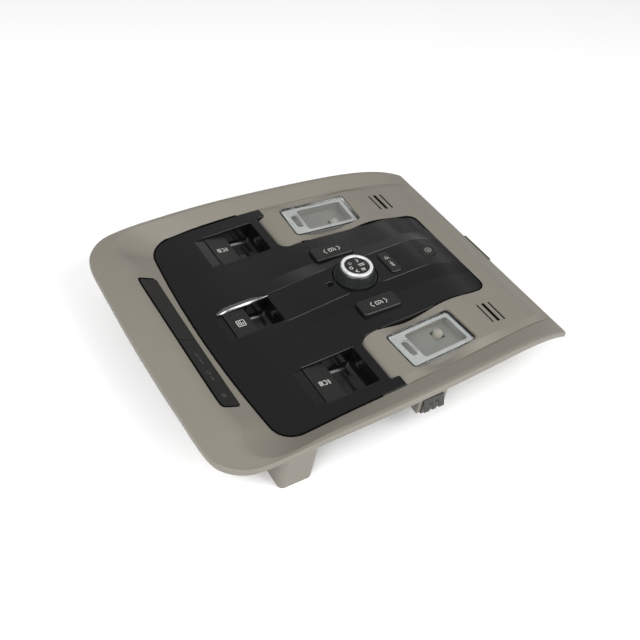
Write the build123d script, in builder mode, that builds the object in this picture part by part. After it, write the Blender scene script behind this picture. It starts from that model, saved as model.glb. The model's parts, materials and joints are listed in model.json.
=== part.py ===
from build123d import *
import math
import os

os.makedirs("parts", exist_ok=True)

# Overhead console of a large car, face up, standing on its four feet.
# x runs from the rounded front edge to the straight rear edge, y to the left, z up from the feet.

# Shells and fits
lens_height = 50.0
wall = 2.4
gap = 0.4
seat_gap = 0.3
running_fit = 0.05
side_names = (("left", 1), ("right", -1))

# Outline of the bezel
front_x = -154.0
rear_x = 151.3
front_bow = 2.3
widest_x = -63.7
max_half_width = 128.4
side_radius = 1618.0
outer_corner_radius = 31.0
band_width = 17.6
panel_front_x = -105.7
panel_bow = 4.5
inner_corner_radius = 18.0

# Crown of the bezel, as drops below its highest point
crest_rise = 4.2
crest_x = -3.7
front_crest_drop = 9.2
rear_crest_drop = 14.2
seam_drop = 1.2
seam_flat_x = 56.3
front_seam_drop = 11.1
rear_seam_drop = 8.8
lip_height = 4.5
skirt_height = 7.0
side_crown_at = 0.2
side_crown_rise = 0.2
front_crown_at = 0.48
front_crown_rise = 4.8

# Feet and clip towers
foot_x = -90.7
foot_y = 107.0
foot_length = 26.0
foot_depth = 22.0
foot_draft = 4.0
foot_wall = 2.6
foot_hole_radius = 2.2
rear_foot_x = 126.0
rear_foot_y = 72.0
rear_foot_radius = 7.0
tower_x = 21.0
tower_y = 113.0
tower_length = 25.0
tower_depth = 7.0
tower_base = 20.0

# Black centre panel: height of its ridge above the lens plane, and of the ridge's foot and shoulder
ridge_half_width = 16.0
ridge_foot = 29.0
shoulder = 57.0
panel_proud = 0.6
panel_shape = (
    # x, ridge, foot, shoulder
    (-110.0, -12.3, -12.5, -12.8),
    (-85.7, -7.6, -7.7, -8.0),
    (-65.7, -4.7, -4.8, -5.0),
    (-44.7, -3.7, -4.0, -4.1),
    (-18.7, -0.6, -2.1, -2.4),
    (2.3, 2.3, 0.0, -0.4),
    (26.3, 3.9, 1.0, 0.5),
    (58.3, 5.0, 1.4, 0.7),
    (96.3, 4.3, 1.3, 0.6),
    (124.0, 0.2, 0.1, -0.2),
)
tongue_rear_x = 118.3
tongue_front_half = 56.5
tongue_rear_half = 51.0
tongue_corner_radius = 8.0
strip_end_x = -0.7
strip_width = 9.5
pod_front_x = -8.0
pod_corner_radius = 9.0

# Rear panel: height of its deck against the lens plane
deck_shape = ((pod_front_x, -6.8), (-2.0, -2.6), (4.0, -0.2), (14.0, 0.0), (60.0, 0.0), (98.0, -0.1),
              (124.0, -2.0), (140.0, -5.4), (rear_x, -10.0))
deck_edge = 6.5

# Map lamps
lamp_x = 41.9
lamp_y = 80.1
lamp_length = 61.0
lamp_width = 36.0
lamp_turn = 3.5
lamp_corner_radius = 4.0
lens_plate = 1.6
lens_rim = 2.2
lens_rim_rise = 0.9
lens_skirt = 5.0
window_length = 17.0
window_width = 7.0
reflector_depth = 8.0
reflector_wall = 1.2
led_opening = 9.5
led_radius = 4.0
led_x = 12.5
led_y = -5.5

# Grilles and microphones
grille_x = 102.3
grille_y = 76.5
slot_length = 21.0
slot_pitch = 6.0
slot_widths = (1.7, 3.2, 1.7)
microphone_radius = 9.0
microphone_height = 6.0

# Rocker keys in their finger wells
side_well_x = -37.0
side_well_y = 79.0
side_well_length = 43.4
side_well_width = 36.0
centre_well_x = -64.2
centre_well_length = 39.0
centre_well_width = 28.0
well_depth = 17.0
well_wall = 1.6
well_corner_radius = 1.2
scoop_radius = 9.0
cheek_radius = 5.0
step_length = 10.0
step_width = 17.0
step_height = 5.5
step_round = 2.4
panel_round = 0.6          # rounding of the panel's outline
opening_round = 0.8        # rounding of the rims of its wells and holes
opening_fields = [(-87, -14, 98), (0, 112, 45)]    # x from, x to and half width of the fields with openings
lip_stations = ((-87.0, 2.6), (-78.0, 4.2), (-60.0, 4.0), (-43.0, 1.2))
key_length = 18.0
key_thickness = 2.4
key_front_gap = 0.8
key_side_gap = 0.4
key_sink_front = 0.9
key_sink_rear = 3.4
key_travel = 6.0
pin_radius = 1.25
pin_depth = 5.6
hub_radius = 2.8
ear_width = 2.4
switch_length = 8.0
switch_width = 10.0
switch_offset = 5.0
plunger_radius = 1.2
plunger_gap = 0.9

# Knob
knob_x = 25.8
knob_hole_radius = 17.7
skirt_base_radius = 16.2
skirt_top_radius = 14.0
skirt_height_above = 9.0
bead_radius = 17.0
bead_height = 1.4
ring_outer_radius = 12.65
ring_inner_radius = 10.0
ring_height = 1.9
notch_turn = -40.0
cap_radius = 9.7
rib_count = 44
rib_depth_radius = 0.75
hub_outer_radius = 5.0
hub_bore_radius = 3.2
cap_stem_radius = 2.6
cap_travel = 1.0
encoder_height = 8.0
encoder_size = 20.0

# Push buttons: x, y, length along x, width along y, rise above the panel
map_button = (25.05, 34.1, 34.5, 15.6, 2.5)
off_button = (58.1, 0.0, 10.3, 24.0, 1.3)
round_button_x = 96.7
round_button_radius = 6.4
round_button_rise = 0.7
button_gap = 0.35
button_travel = 1.2
button_flange = 1.2
stem_radius = 2.5
ambient_x = 2.7
ambient_size = 4.2
button_round = 1.2
flange_height = 2.0
dome_height = 0.8

# Indicator strip on the front band
strip_outer_x = -125.5
strip_inner_x = -110.5
strip_half_length = 71.0
strip_corner_radius = 3.0
indicator_depth = 9.0

# Back: boards and housing
board_thickness = 1.6
main_board_top = 37.6
switch_board_top = 24.0
mat_thickness = 1.5
housing_floor = 14.0
housing_wall = 2.2
housing_top = 33.0
housing_front_x = -98.0
housing_rear_x = 108.0
housing_half_width = 91.0
housing_flare = 3.0
board_front_x = -7.5
board_rear_x = 112.0
board_half_width = 46.0
switch_board_front_x = -86.0
switch_board_rear_x = -12.0
switch_board_half_width = 84.5
connector_x = 88.0
connector_length = 14.0
connector_width = 34.0
connector_cavity = 12.0
boss_radius = 3.6
screw_radius = 1.5
screw_length = 9.0
screw_bite = 0.3
screw_seat = 4.0
screw_head_radius = 2.8
screw_head_height = 2.0

# Clips, pads and hook
clip_length = 18.0
clip_height = 14.0
clip_sheet = 0.6
clip_spread = 3.0
pad_y = 63.5
pad_length = 45.0
pad_width = 5.0
pad_thickness = 0.9
hook_reach = 2.7
hook_half_length = 17.0


def half_width(x):
    return max_half_width - (x - widest_x) ** 2 / (2 * side_radius)


def seam_y(x):
    return half_width(x) - band_width


def crest(x):
    if x < crest_x:
        drop = front_crest_drop * ((crest_x - x) / (crest_x - front_x)) ** 2.6
    else:
        drop = rear_crest_drop * ((x - crest_x) / (rear_x - crest_x)) ** 5.5
    return lens_height + crest_rise - drop


def seam(x):
    if x < seam_flat_x:
        drop = front_seam_drop * ((seam_flat_x - x) / (seam_flat_x - panel_front_x)) ** 3.2
    else:
        drop = rear_seam_drop * ((x - seam_flat_x) / (rear_x - seam_flat_x)) ** 4
    return lens_height - seam_drop - drop


def height_at(table, x, column=1):
    """Height of a panel on its table of stations, in a straight line between two of them."""
    for low, high in zip(table, table[1:]):
        if x <= high[0]:
            share = (x - low[0]) / (high[0] - low[0])
            return lens_height + low[column] + share * (high[column] - low[column])
    return lens_height + table[-1][column]


def finish(piece, name, place=Location()):
    """Move a piece to its place, label it and write it to its own file."""
    solid = place * piece.part
    solid.label = name
    export_step(solid, f"parts/{name}.step")


# Sections of the bezel: two plan points each, and how far the band has turned to the front
front_corner_x = front_x + front_bow
outer_corner_x = front_corner_x + outer_corner_radius
outer_corner = (outer_corner_x, half_width(outer_corner_x) - outer_corner_radius)
inner_corner_x = panel_front_x + panel_bow + inner_corner_radius
inner_corner = (inner_corner_x, seam_y(inner_corner_x) - inner_corner_radius)
side_stations = (rear_x, 138.0, 118.0, 88.0, 48.0, 0.0, -45.0, -90.0)


def corner_point(centre, radius, angle):
    turn = math.radians(angle)
    return (centre[0] - radius * math.sin(turn), centre[1] + radius * math.cos(turn))


def band_stations():
    stations = []
    for x in side_stations:
        inner_x = x + max(0.0, crest_x - x) * 0.35
        stations.append(((x, half_width(x)), (inner_x, seam_y(inner_x)), 0.0))
    for angle in (0, 22.5, 45, 67.5, 90):
        stations.append((corner_point(outer_corner, outer_corner_radius, angle),
                         corner_point(inner_corner, inner_corner_radius, angle), angle / 90))
    for share in (0.8, 0.4, 0.0):
        stations.append(((front_x + front_bow * share ** 2, outer_corner[1] * share),
                         (panel_front_x + panel_bow * share ** 2, inner_corner[1] * share), 1.0))
    return stations


def band_plane(outer, inner):
    along = (Vector(*inner, 0) - Vector(*outer, 0)).normalized()
    return Plane(origin=(outer[0], outer[1], 0), x_dir=along, z_dir=(along.Y, -along.X, 0))


def band_heights(outer, inner, turned):
    span = math.dist(outer, inner)
    crown_at = (side_crown_at + (front_crown_at - side_crown_at) * turned) * span
    edge = crest(outer[0])
    crown = edge + side_crown_rise + (front_crown_rise - side_crown_rise) * turned
    return span, crown_at, edge, crown, seam(inner[0])


left_stations = band_stations()
right_stations = [((o[0], -o[1]), (i[0], -i[1]), turned) for o, i, turned in left_stations]
all_stations = right_stations + left_stations[-2::-1]

with BuildPart() as band:
    for outer, inner, turned in all_stations:
        span, crown_at, edge, crown, seat = band_heights(outer, inner, turned)
        with BuildSketch(band_plane(outer, inner)):
            with BuildLine():
                top = FilletPolyline((0, edge - lip_height), (0, edge), (crown_at, crown), (span, seat),
                                     radius=[1.5, 6 + 14 * turned])
                inside = seat - wall + (crown - seat) * wall / (span - crown_at)
                Polyline(top @ 1, (span, seat - skirt_height), (span - wall, seat - skirt_height),
                         (span - wall, inside), (crown_at, crown - wall), (wall, edge - wall),
                         (wall, edge - lip_height), top @ 0)
            make_face()
    loft()

# Everything under the bezel stops half way into this wall
with BuildPart() as under_band:
    for outer, inner, turned in all_stations:
        span, crown_at, edge, crown, seat = band_heights(outer, inner, turned)
        with BuildSketch(band_plane(outer, inner)):
            with BuildLine():
                Polyline((wall / 2, -1), (wall / 2, edge - wall / 2), (crown_at, crown - wall / 2),
                         (span, seat - wall / 2), (span + gap, seat - 2 * wall),
                         (span + foot_depth / 2, seat - 2 * wall), (span + foot_depth / 2, -1), close=True)
            make_face()
    loft()

# Panel skins: a closed solid under each top surface, for trimming what hangs from it

def panel_top(row, offset):
    """Top line of the centre panel across the car, from right to left."""
    x, ridge, foot, edge = row
    outer = (max_half_width, max(seam(max(x, panel_front_x)) + panel_proud, lens_height - 13))
    half = [outer, (shoulder, lens_height + edge), (ridge_foot, lens_height + foot),
            (ridge_half_width, lens_height + ridge)]
    line = [(-y, z) for y, z in half] + half[::-1]
    return [(y, z - offset) for y, z in line]


with BuildPart() as panel_skin:
    for row in panel_shape:
        with BuildSketch(Plane.YZ.offset(row[0])):
            with BuildLine():
                Polyline(*panel_top(row, 0), *panel_top(row, wall)[::-1], close=True)
            make_face()
    loft()

with BuildPart() as under_panel:
    for row in panel_shape:
        with BuildSketch(Plane.YZ.offset(row[0])):
            with BuildLine():
                Polyline(*panel_top(row, wall / 2), (max_half_width, 0), (-max_half_width, 0), close=True)
            make_face()
    loft()


# Deck of the rear panel: nearly flat across, with the lamp pods' bevel at its front end
def deck_top(x, rise, offset):
    edge = (seam_y(x) + 1, seam(x))
    if x < deck_shape[2][0]:
        edge = (seam_y(x) + 1, lens_height + rise)
    half = [edge, (seam_y(x) - deck_edge, lens_height + rise + 0.01)]
    line = [(-y, z) for y, z in half] + half[::-1]
    return [(y, z - offset) for y, z in line]


with BuildPart() as deck_skin:
    for x, rise in deck_shape:
        with BuildSketch(Plane.YZ.offset(x)):
            with BuildLine():
                Polyline(*deck_top(x, rise, 0), *deck_top(x, rise, wall)[::-1], close=True)
            make_face()
    loft()

with BuildPart() as under_deck:
    for x, rise in deck_shape:
        with BuildSketch(Plane.YZ.offset(x)):
            with BuildLine():
                Polyline(*deck_top(x, rise, wall / 2), (seam_y(x) + 1, 0), (-seam_y(x) - 1, 0), close=True)
            make_face()
    loft()

# What may hang below each skin, down from its underside
drop_to_underside = Pos(0, 0, -wall / 2 - seat_gap)
below_panel = drop_to_underside * under_panel.part
below_deck = drop_to_underside * under_deck.part
below_band = drop_to_underside * under_band.part
support_limit = under_band.part + Pos(0, 0, -2 * wall) * under_panel.part

# Plan outlines
pod_edge_y = seam_y(strip_end_x) - gap - strip_width
tongue_half = [(strip_end_x, seam_y(strip_end_x) - gap), (strip_end_x, pod_edge_y), (pod_front_x, pod_edge_y),
               (pod_front_x, tongue_front_half), (tongue_rear_x, tongue_rear_half)]
tongue_radii = [1.5, 1.5, pod_corner_radius, tongue_corner_radius]
side_middle_x = (inner_corner[0] + strip_end_x) / 2
panel_corner_radius = inner_corner_radius - gap

with BuildSketch() as panel_outline:
    with BuildLine():
        for sign in (1, -1):
            ThreePointArc((strip_end_x, sign * (seam_y(strip_end_x) - gap)),
                          (side_middle_x, sign * (seam_y(side_middle_x) - gap)),
                          (inner_corner[0], sign * (inner_corner[1] + panel_corner_radius)))
            ThreePointArc((inner_corner[0], sign * (inner_corner[1] + panel_corner_radius)),
                          (inner_corner[0] - panel_corner_radius * math.sqrt(0.5),
                           sign * (inner_corner[1] + panel_corner_radius * math.sqrt(0.5))),
                          (inner_corner[0] - panel_corner_radius, sign * inner_corner[1]))
        ThreePointArc((inner_corner[0] - panel_corner_radius, inner_corner[1]), (panel_front_x + gap, 0),
                      (inner_corner[0] - panel_corner_radius, -inner_corner[1]))
        FilletPolyline(*tongue_half, *[(x, -y) for x, y in tongue_half[::-1]],
                       radius=tongue_radii + tongue_radii[::-1])
    make_face()

wide_panel_outline = offset(panel_outline.sketch, amount=gap)

with BuildSketch() as deck_outline:
    with BuildLine():
        for sign in (1, -1):
            ThreePointArc((pod_front_x, sign * (seam_y(pod_front_x) - gap)),
                          (lamp_x, sign * (seam_y(lamp_x) - gap)),
                          (rear_x, sign * (seam_y(rear_x) - gap)))
        Line((rear_x, seam_y(rear_x) - gap), (rear_x, gap - seam_y(rear_x)))
        Line((pod_front_x, seam_y(pod_front_x) - gap), (pod_front_x, gap - seam_y(pod_front_x)))
    make_face()
    add(wide_panel_outline, mode=Mode.SUBTRACT)

strip_middle_x = (strip_outer_x + strip_inner_x) / 2
strip_width_x = strip_inner_x - strip_outer_x


def strip_sketch(clearance):
    """Plan outline of the indicator strip, smaller all round by the clearance."""
    with BuildSketch() as outline:
        with Locations((strip_middle_x, 0)):
            RectangleRounded(strip_width_x - 2 * clearance, 2 * (strip_half_length - clearance),
                             strip_corner_radius - clearance)
    return outline.sketch


strip_opening = strip_sketch(0)
strip_insert = strip_sketch(gap)
light_box_outside = strip_sketch(-well_wall)
light_box_inside = strip_sketch(well_wall)
light_board_outline = strip_sketch(well_wall + seat_gap)

# Wells: name, centre, size in plan, column of the panel's height that they follow
wells = (
    ("left", side_well_x, side_well_y, side_well_length, side_well_width, 3),
    ("centre", centre_well_x, 0.0, centre_well_length, centre_well_width, 1),
    ("right", side_well_x, -side_well_y, side_well_length, side_well_width, 3),
)


def key_place(well_x, well_length, column):
    """Key's front and rear edge, the heights of its top there, and its pivot."""
    front = well_x - well_length / 2 + key_front_gap
    rear = front + key_length
    front_top = height_at(panel_shape, front, column) - key_sink_front
    rear_top = height_at(panel_shape, rear, column) - key_sink_rear
    pivot = ((front + rear) / 2, (front_top + rear_top) / 2 - pin_depth)
    return front, rear, front_top, rear_top, pivot


# Outer bezel: band, hollow feet under the front corners, clip towers and cross ribs
with BuildPart() as bezel_supports:
    for side, sign in side_names:
        with BuildSketch():
            with Locations((foot_x, sign * foot_y)):
                RectangleRounded(foot_length, foot_depth, 4)
        extrude(amount=lens_height, taper=-foot_draft)
        with BuildSketch(Plane.XY.offset(foot_wall)):
            with Locations((foot_x, sign * foot_y)):
                RectangleRounded(foot_length - 2 * foot_wall, foot_depth - 2 * foot_wall, 2)
        extrude(amount=lens_height, taper=-foot_draft, mode=Mode.SUBTRACT)
        with Locations((foot_x, sign * foot_y, 0)):
            Cylinder(foot_hole_radius, 2 * foot_wall + 2, mode=Mode.SUBTRACT)
        with BuildSketch(Plane.XY.offset(tower_base)):
            with Locations((tower_x, sign * tower_y)):
                Rectangle(tower_length, tower_depth)
        extrude(amount=lens_height - tower_base + crest_rise)
    add(support_limit, mode=Mode.INTERSECT)

with BuildPart() as outer_bezel:
    add(band.part)
    add(bezel_supports.part)
    extrude(strip_opening, amount=2 * lens_height, mode=Mode.SUBTRACT)
finish(outer_bezel, "outer_bezel")

# Indicator strip: two flush halves that rest on the light box behind them
for name, sign in (("indicator_blank", 1), ("indicator_lens", -1)):
    with BuildPart() as strip_half:
        add(band.part)
        extrude(strip_insert, amount=2 * lens_height, mode=Mode.INTERSECT)
        with Locations((strip_middle_x, sign * (strip_half_length + gap / 2), lens_height)):
            Box(4 * strip_width_x, 2 * strip_half_length, 4 * lens_height, mode=Mode.INTERSECT)
    finish(strip_half, name)

strip_low = seam(panel_front_x) - wall - 1.5
with BuildPart() as indicator_housing:
    with BuildSketch(Plane.XY.offset(strip_low - indicator_depth)):
        add(light_box_outside)
    extrude(amount=lens_height)
    with BuildSketch(Plane.XY.offset(strip_low - indicator_depth + well_wall)):
        add(light_box_inside)
    extrude(amount=lens_height, mode=Mode.SUBTRACT)
    add(below_band, mode=Mode.INTERSECT)
finish(indicator_housing, "indicator_housing")

with BuildPart() as indicator_board:
    with BuildSketch(Plane.XY.offset(strip_low - indicator_depth + well_wall)):
        add(light_board_outline)
    extrude(amount=board_thickness)
finish(indicator_board, "indicator_board")

# Centre panel: skin inside its outline, open at the wells, knob and buttons
button_list = (
    ("map_button_left", map_button[0], map_button[1], map_button[2], map_button[3], map_button[4], 2),
    ("map_button_right", map_button[0], -map_button[1], map_button[2], map_button[3], map_button[4], 2),
    ("off_button", off_button[0], off_button[1], off_button[2], off_button[3], off_button[4], 1),
)
board_boss_places = [(x, sign * 38.0) for x in (-2.0, 106.0) for sign in (1, -1)]
housing_boss_places = [(x, sign * 44.0) for x in (housing_front_x + 6.0,) for sign in (1, -1)]
housing_boss_places += [(-6.0, sign * 52.0) for sign in (1, -1)]

with BuildPart() as panel_bosses:
    with Locations(*[(x, y, main_board_top) for x, y in board_boss_places]):
        Cylinder(boss_radius, lens_height, align=(Align.CENTER, Align.CENTER, Align.MIN))
    with Locations(*[(x, y, housing_top) for x, y in housing_boss_places]):
        Cylinder(boss_radius, lens_height, align=(Align.CENTER, Align.CENTER, Align.MIN))
    add(under_panel.part, mode=Mode.INTERSECT)

# Round lip along the far side of the centre well, as the solid that it takes off
lip_edge = centre_well_width / 2
with BuildPart() as well_lip:
    for x, radius in lip_stations:
        surface = height_at(panel_shape, x)
        with BuildSketch(Plane.YZ.offset(x)):
            with BuildLine():
                curve = RadiusArc((lip_edge + radius, surface), (lip_edge, surface - radius), radius)
                Polyline(curve @ 1, (lip_edge - 0.5, surface - radius), (lip_edge - 0.5, surface + 3),
                         (lip_edge + radius, surface + 3), curve @ 0)
            make_face()
    loft()


def in_field(place):
    return any(start < place.X < end and abs(place.Y) < half for start, end, half in opening_fields)


with BuildPart() as centre_panel:
    with BuildSketch():
        add(panel_outline.sketch)
        for name, x, y, length, width, column in wells:
            with Locations((x, y)):
                RectangleRounded(length, width, well_corner_radius, mode=Mode.SUBTRACT)
        with Locations((knob_x, 0)):
            Circle(knob_hole_radius, mode=Mode.SUBTRACT)
        with Locations((round_button_x, 0)):
            Circle(round_button_radius + button_gap, mode=Mode.SUBTRACT)
        with Locations((ambient_x, 0)):
            Rectangle(ambient_size, ambient_size, mode=Mode.SUBTRACT)
    extrude(amount=2 * lens_height)
    add(panel_skin.part, mode=Mode.INTERSECT)
    for radius, at_opening in ((opening_round, True), (panel_round, False)):
        wall_edges = centre_panel.faces().filter_by(lambda face: abs(face.normal_at().Z) < 0.3).edges()
        top_edges = centre_panel.faces().filter_by(lambda face: face.normal_at().Z > 0.5).edges()
        fillet([edge for edge in top_edges if edge in wall_edges and in_field(edge.center()) == at_opening],
               radius)
    with BuildSketch():
        for name, x, y, length, width, rise, column in button_list:
            with Locations((x, y)):
                RectangleRounded(length + 2 * button_gap, width + 2 * button_gap, 3)
    extrude(amount=2 * lens_height, mode=Mode.SUBTRACT)
    add(panel_bosses.part)
    with Locations(*[(x, y, housing_top) for x, y in housing_boss_places]):
        Cylinder(screw_radius - screw_bite, 2 * (screw_length - screw_seat + seat_gap), mode=Mode.SUBTRACT)
    with Locations(*[(x, y, main_board_top) for x, y in board_boss_places]):
        Cylinder(screw_radius - screw_bite, 2 * (screw_length - board_thickness + seat_gap), mode=Mode.SUBTRACT)
    for name, x, y, length, width, column in wells:
        front = x - length / 2
        surface = height_at(panel_shape, front - 8, column)
        edge_height = height_at(panel_shape, front, column)
        with BuildSketch(Plane.XZ.offset(-y)):
            with BuildLine():
                Polyline((front - 9, surface + 1), (front - 8, surface + 0.1), (front + 1, edge_height - 1.3),
                         (front + 1, surface + 8), close=True)
            make_face()
        extrude(amount=width / 2 - 1, both=True, mode=Mode.SUBTRACT)
    add(well_lip.part, mode=Mode.SUBTRACT)
finish(centre_panel, "centre_panel")


# Rear panel: deck with lamp and grille openings, rear feet and a return flange under its rear edge
lamp_places = [(name, sign, (lamp_x, sign * lamp_y), -lamp_turn * sign) for name, sign in side_names]
with BuildPart() as deck_supports:
    for side, sign in side_names:
        with BuildSketch():
            with Locations((rear_foot_x, sign * rear_foot_y)):
                Circle(rear_foot_radius)
        extrude(amount=lens_height, taper=-foot_draft / 2)
        with BuildSketch(Plane.XY.offset(foot_wall)):
            with Locations((rear_foot_x, sign * rear_foot_y)):
                Circle(rear_foot_radius - foot_wall)
        extrude(amount=lens_height, taper=-foot_draft / 2, mode=Mode.SUBTRACT)
        with Locations((rear_foot_x, sign * rear_foot_y, 0)):
            Cylinder(foot_hole_radius, 2 * foot_wall + 2, mode=Mode.SUBTRACT)
    with Locations((rear_x - wall / 2, 0, seam(rear_x) - skirt_height)):
        Box(wall, 2 * (seam_y(rear_x) - 2 * gap), lens_height, align=(Align.CENTER, Align.CENTER, Align.MIN))
    add(under_deck.part, mode=Mode.INTERSECT)

with BuildPart() as rear_panel:
    with BuildSketch():
        add(deck_outline.sketch)
        for name, sign, place, turn in lamp_places:
            with Locations(Location((*place, 0), (0, 0, turn))):
                RectangleRounded(lamp_length, lamp_width, lamp_corner_radius, mode=Mode.SUBTRACT)
            for number, width in enumerate(slot_widths):
                with Locations((grille_x + (number - 1) * slot_pitch, sign * grille_y)):
                    Rectangle(width, slot_length, mode=Mode.SUBTRACT)
    extrude(amount=2 * lens_height)
    add(deck_skin.part, mode=Mode.INTERSECT)
    add(deck_supports.part)
finish(rear_panel, "rear_panel")

# Lamps: lens with raised rim and window, reflector tray, lamp and its board
for name, sign, place, turn in lamp_places:
    lamp_frame = Location((*place, lens_height), (0, 0, turn))
    lens_length = lamp_length - 2 * gap
    lens_width = lamp_width - 2 * gap
    tray_length = lens_length - 2 * (reflector_wall + 2 * gap)
    tray_width = lens_width - 2 * (reflector_wall + 2 * gap)
    tray_top = -lens_plate + lens_rim_rise - seat_gap - gap
    led_place = (led_x, sign * led_y)
    with BuildPart() as lamp_lens:
        with BuildSketch(Plane.XY.offset(-lens_skirt)):
            RectangleRounded(lens_length, lens_width, lamp_corner_radius - gap)
        extrude(amount=lens_skirt + lens_rim_rise)
        with BuildSketch(Plane.XY.offset(lens_rim_rise)):
            RectangleRounded(lens_length - 2 * lens_rim, lens_width - 2 * lens_rim, lamp_corner_radius - 1.5)
        extrude(amount=-gap, mode=Mode.SUBTRACT)
        with BuildSketch(Plane.XY.offset(-lens_skirt)):
            RectangleRounded(lens_length - 2 * reflector_wall, lens_width - 2 * reflector_wall,
                             lamp_corner_radius - 1.5)
        extrude(amount=lens_skirt + lens_rim_rise - gap - lens_plate, mode=Mode.SUBTRACT)
        with BuildSketch(Plane.XY.offset(lens_rim_rise - gap)):
            with Locations((window_width + lens_rim - lens_length / 2, 0)):
                SlotOverall(window_length, window_width, rotation=90)
                SlotOverall(window_length - 2, window_width - 2, rotation=90, mode=Mode.SUBTRACT)
        extrude(amount=gap)
    finish(lamp_lens, f"lamp_lens_{name}", lamp_frame)

    with BuildPart() as reflector:
        with BuildSketch(Plane.XY.offset(tray_top)):
            RectangleRounded(tray_length, tray_width, 2)
        extrude(amount=-reflector_depth)
        with BuildSketch(Plane.XY.offset(tray_top)):
            RectangleRounded(tray_length - 2 * reflector_wall, tray_width - 2 * reflector_wall, 1.5)
        extrude(amount=reflector_wall - reflector_depth, taper=6, mode=Mode.SUBTRACT)
        with BuildSketch(Plane.XY.offset(tray_top)):
            with Locations(led_place):
                Rectangle(led_opening, led_opening)
        extrude(amount=-2 * reflector_depth, mode=Mode.SUBTRACT)
    finish(reflector, f"reflector_{name}", lamp_frame)

    lamp_board_top = tray_top - reflector_depth - seat_gap
    with BuildPart() as lamp_board:
        with BuildSketch(Plane.XY.offset(lamp_board_top)):
            with Locations(led_place):
                RectangleRounded(3 * led_opening, 2 * led_opening, 2)
        extrude(amount=-board_thickness)
    finish(lamp_board, f"lamp_board_{name}", lamp_frame)

    with BuildPart() as led:
        with BuildSketch(Plane.XY.offset(lamp_board_top)):
            with Locations(led_place):
                Circle(led_radius)
        extrude(amount=reflector_wall + 1)
        with Locations((*led_place, lamp_board_top + reflector_wall + 1)):
            Sphere(led_radius)
        with Locations((*led_place, lamp_board_top)):
            Box(4 * led_radius, 4 * led_radius, 4 * led_radius, mode=Mode.SUBTRACT,
                align=(Align.CENTER, Align.CENTER, Align.MAX))
    finish(led, f"led_{name}", lamp_frame)

# Microphones under the grilles
for name, sign in side_names:
    with BuildPart() as microphone:
        with BuildSketch(Plane.XY.offset(height_at(deck_shape, grille_x) - wall - microphone_height)):
            with Locations((grille_x, sign * grille_y)):
                Circle(microphone_radius + 2)
        extrude(amount=3 * microphone_height)
        add(below_deck, mode=Mode.INTERSECT)
    finish(microphone, f"microphone_{name}")

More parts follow.
